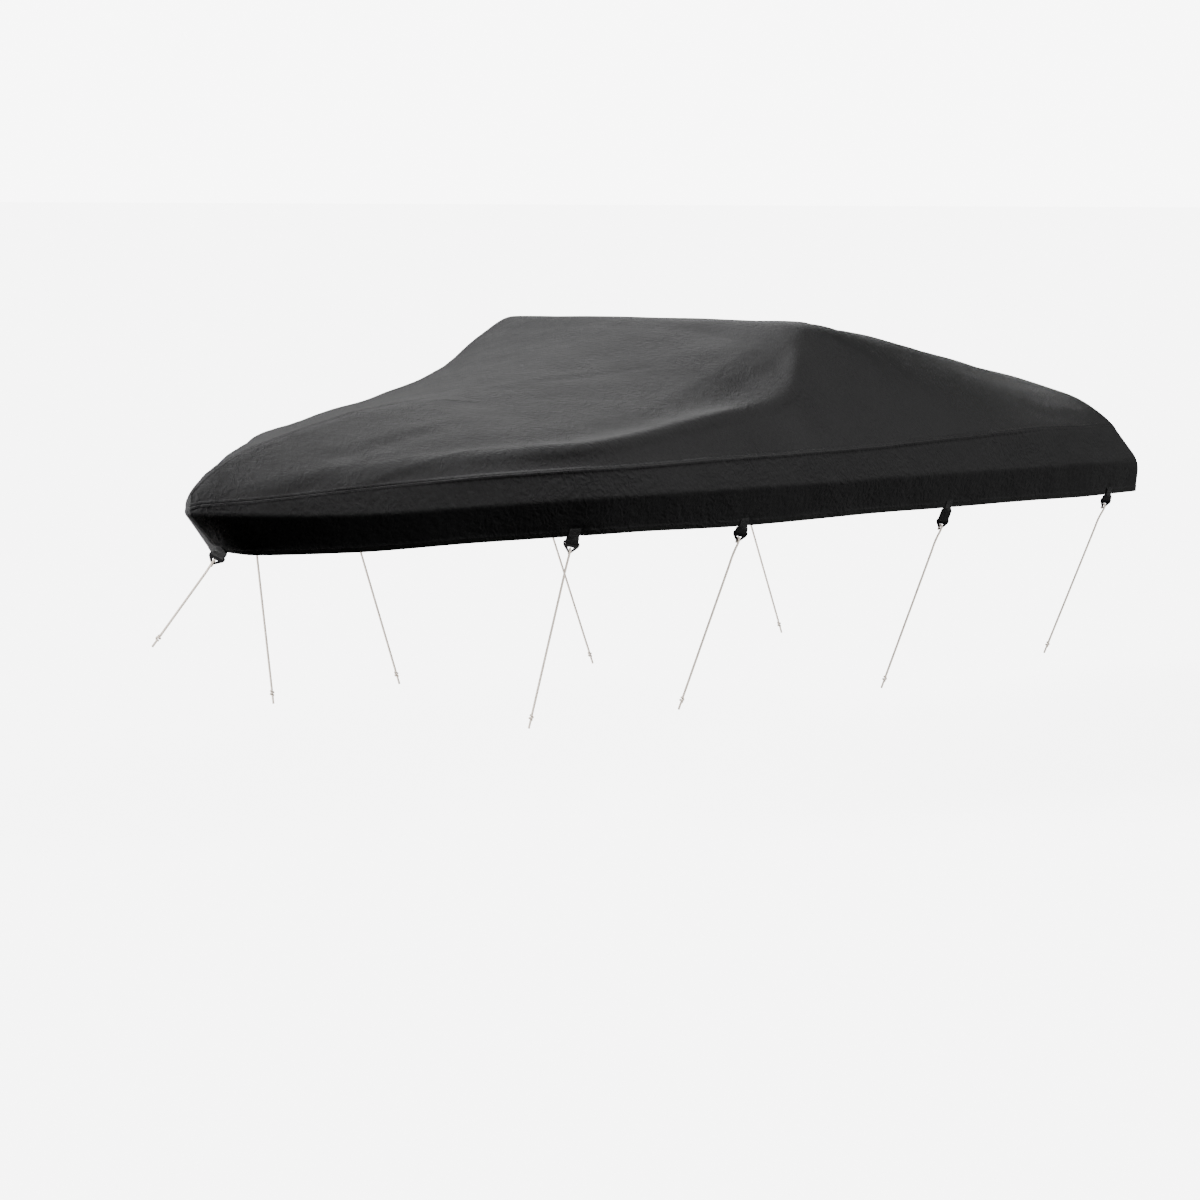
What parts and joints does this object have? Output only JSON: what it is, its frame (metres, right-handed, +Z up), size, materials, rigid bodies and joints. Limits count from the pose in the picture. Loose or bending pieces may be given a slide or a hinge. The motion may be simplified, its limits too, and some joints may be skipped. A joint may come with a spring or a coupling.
{
  "type": "boat cover",
  "caption": "Hollow fitted boat cover of woven polyester with a raised peak for the windscreen, webbing straps along its hem, ring buckles and tie-down ropes.",
  "frame": {"origin": "under the cloth, on the centreline, at the top of the windscreen peak, where the boat carries the cover", "axes": "+X towards the stern, -Y to port, +Z up"},
  "size_m": [5.6017, 2.1572, 1.5368],
  "materials": {
    "cloth": "matte black coated woven polyester",
    "strap": "black woven webbing",
    "buckle": "moulded black plastic",
    "rope": "cream laid rope"
  },
  "bodies": {
    "root": {"cloth_crown_port": "cloth", "cloth_crown_starboard": "cloth", "cloth_side_port": "cloth", "cloth_side_starboard": "cloth", "cloth_transom": "cloth", "strap_bow": "strap", "strap_port_1": "strap", "strap_port_2": "strap", "strap_port_3": "strap", "strap_port_4": "strap", "strap_starboard_1": "strap", "strap_starboard_2": "strap", "strap_starboard_3": "strap", "strap_starboard_4": "strap", "buckle_bow": "buckle", "buckle_port_1": "buckle", "buckle_port_2": "buckle", "buckle_port_3": "buckle", "buckle_port_4": "buckle", "buckle_starboard_1": "buckle", "buckle_starboard_2": "buckle", "buckle_starboard_3": "buckle", "buckle_starboard_4": "buckle", "rope_bow": "rope", "rope_port_1": "rope", "rope_port_2": "rope", "rope_port_3": "rope", "rope_port_4": "rope", "rope_starboard_1": "rope", "rope_starboard_2": "rope", "rope_starboard_3": "rope", "rope_starboard_4": "rope", "knot_bow": "rope", "knot_port_1": "rope", "knot_port_2": "rope", "knot_port_3": "rope", "knot_port_4": "rope", "knot_starboard_1": "rope", "knot_starboard_2": "rope", "knot_starboard_3": "rope", "knot_starboard_4": "rope"}
  },
  "joints": []
}
